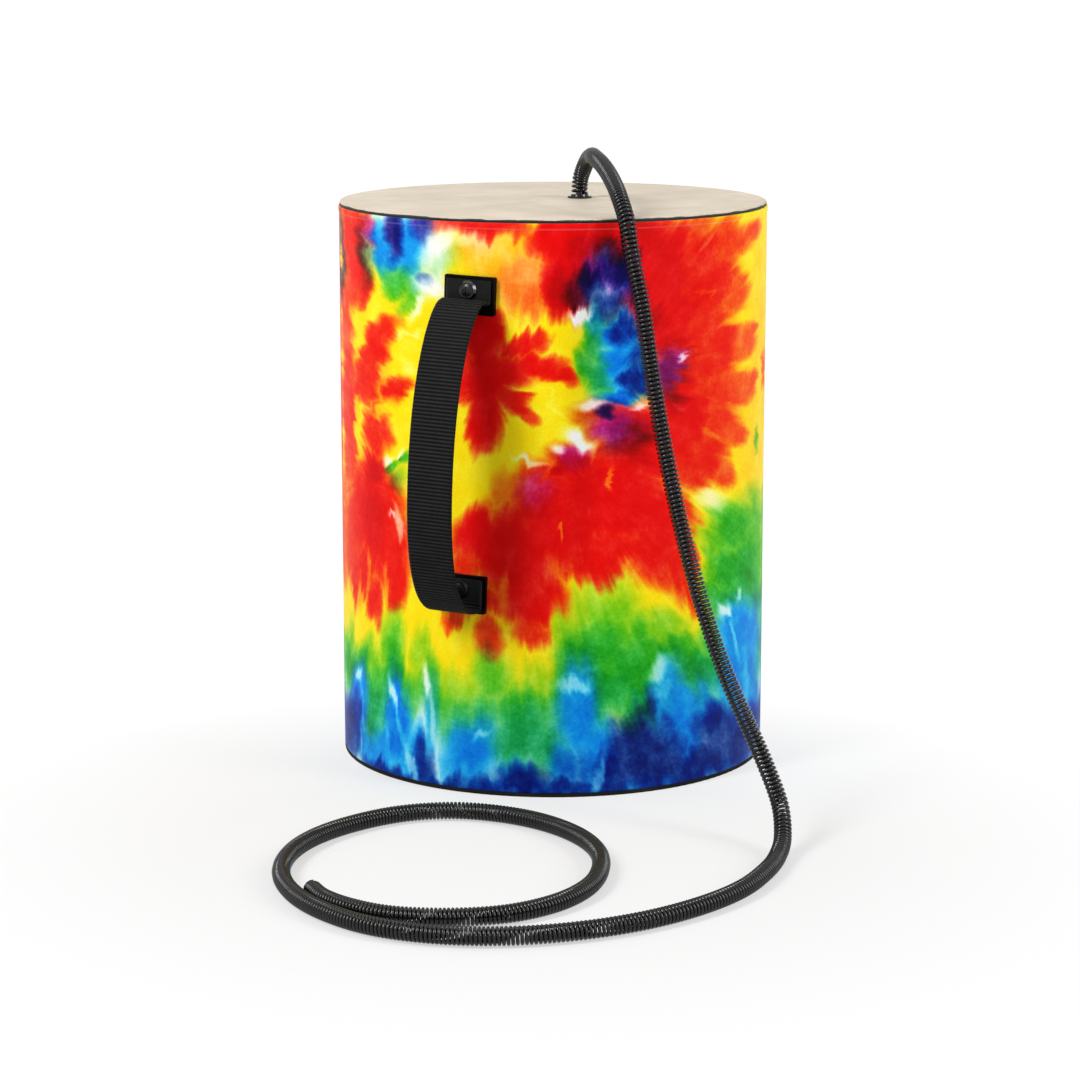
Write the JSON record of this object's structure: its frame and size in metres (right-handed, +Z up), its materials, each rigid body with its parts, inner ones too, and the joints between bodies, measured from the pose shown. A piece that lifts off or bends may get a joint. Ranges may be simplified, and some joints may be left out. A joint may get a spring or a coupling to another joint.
{
  "type": "spring drum",
  "caption": "Upright round drum with a tie-dye wrap, fixed tan head, black strap handle and a long black coil spring hung from the head, shaken or rubbed for a thunder sound.",
  "frame": {"origin": "centre of the drum's open lower end, on the floor", "axes": "+Z up along the drum's axis, -Y out through the strap handle, +X to the right of someone facing the handle"},
  "size_m": [0.318, 0.4772, 0.3348],
  "materials": {
    "shell": "raw fibre, matt",
    "wrap": "printed, satin",
    "hoop": "satin",
    "film": "fibre-look, matt",
    "trim": "matt",
    "anchor_metal": "dark bright plating",
    "bright_steel": "zinc plated",
    "spring_wire": "black, glossy",
    "webbing": "ribbed nylon webbing",
    "plate": "gloss",
    "black_steel": "black oxide"
  },
  "bodies": {
    "drum": {"shell": "shell", "wrap": "wrap", "head_hoop": "hoop", "head_film": "film", "bottom_trim": "trim", "anchor_bolt": "anchor_metal", "anchor_washer": "bright_steel", "anchor_nut": "anchor_metal", "upper_strap_end": "webbing", "lower_strap_end": "webbing", "upper_handle_plate": "plate", "lower_handle_plate": "plate", "upper_handle_screw": "black_steel", "lower_handle_screw": "black_steel", "upper_cup_washer": "black_steel", "lower_cup_washer": "black_steel", "upper_inner_washer": "bright_steel", "lower_inner_washer": "bright_steel", "upper_handle_nut": "bright_steel", "lower_handle_nut": "bright_steel"},
    "spring": {"spring": "spring_wire"},
    "strap": {"handle_strap": "webbing"}
  },
  "joints": [
    {"name": "spring_swing", "type": "hinge", "parent": "drum", "child": "spring", "pos_m": [0.01, 0.014, 0.3072], "axis": [0, 0, 1], "range_deg": [-5, 75]},
    {"name": "strap_swing", "type": "hinge", "parent": "drum", "child": "strap", "pos_m": [0, -0.1206, 0.19], "axis": [0.0349, 0, 0.9994], "range_deg": [-15, 15], "stiffness_Nm_per_rad": 0.02}
  ]
}
